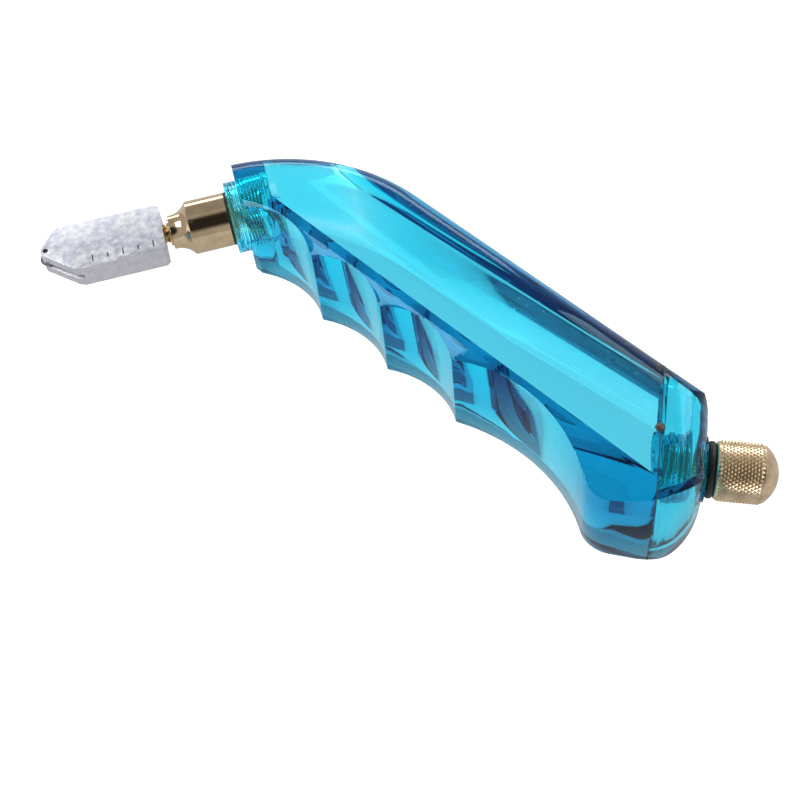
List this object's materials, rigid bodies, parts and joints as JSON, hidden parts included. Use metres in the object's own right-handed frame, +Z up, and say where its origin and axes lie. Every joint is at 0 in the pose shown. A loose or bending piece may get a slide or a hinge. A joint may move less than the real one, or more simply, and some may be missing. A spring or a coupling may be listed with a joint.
{
  "type": "glass cutter",
  "caption": "Pistol-grip oil-fed glass cutter: steel wheel head on a brass barrel, hollow translucent grip with finger scallops and a knurled filler cap.",
  "frame": {"origin": "a point on the grip's lower side flat, which the tool lies on", "axes": "+X from the cutting head to the grip along the barrel, +Y towards the back of the grip, +Z up from the lower side flat"},
  "size_m": [0.1334, 0.1097, 0.0248],
  "materials": {
    "steel_head": "satin, polished edges",
    "carbide_wheel": "fine ground",
    "black_axle": "black oxide",
    "brass_polished": "polished",
    "brass_knurled": "diamond knurl with a polished dome",
    "brass_turned": "turned",
    "rubber_black": "smooth",
    "spring_steel": "bright",
    "wick": "braided cotton",
    "acrylic_grip": "clear blue, polished",
    "acrylic_cover": "clear blue-green, polished"
  },
  "bodies": {
    "handle": {"grip_body": "acrylic_grip", "rear_cover": "acrylic_cover", "barrel": "brass_polished", "barrel_gasket": "rubber_black", "guide_pin": "brass_turned", "valve_seat": "brass_turned", "spring_retainer": "brass_turned"},
    "valve": {"valve_poppet": "spring_steel", "valve_washer": "rubber_black", "valve_spring": "spring_steel"},
    "head": {"head_block": "steel_head", "wheel_axle": "black_axle", "head_stem": "brass_turned", "oil_wick": "wick", "plunger": "brass_turned", "plunger_seal": "rubber_black"},
    "wheel": {"cutting_wheel": "carbide_wheel"},
    "cap_ring": {"cap_seal": "rubber_black"},
    "cap": {"fill_cap": "brass_knurled"}
  },
  "joints": [
    {"name": "head_press", "type": "slide", "parent": "handle", "child": "valve", "axis": [1, 0, 0], "range_m": [0, 0.0008], "stiffness_N_per_m": 3000, "springref_m": -0.001, "deforming": ["valve_spring"]},
    {"name": "head_swivel", "type": "hinge", "parent": "valve", "child": "head", "pos_m": [-0.0523, 0.04677, 0.0124], "axis": [1, 0, 0], "range_deg": [-5, 5]},
    {"name": "wheel_spin", "type": "hinge", "parent": "head", "child": "wheel", "pos_m": [-0.0858, 0.04757, 0.0124], "axis": [0, 0, 1], "continuous": true},
    {"name": "cap_lift", "type": "slide", "parent": "handle", "child": "cap_ring", "axis": [0.9205, -0.3907, 0], "range_m": [0, 0.00751]},
    {"name": "cap_turn", "type": "hinge", "parent": "cap_ring", "child": "cap", "pos_m": [0.03424, -0.04565, 0.0124], "axis": [0.9205, -0.3907, 0], "range_deg": [0, 2160]}
  ],
  "couplings": [
    {"joint": "cap_lift", "follows": "cap_turn", "m_per_rad": 0.00019894}
  ]
}
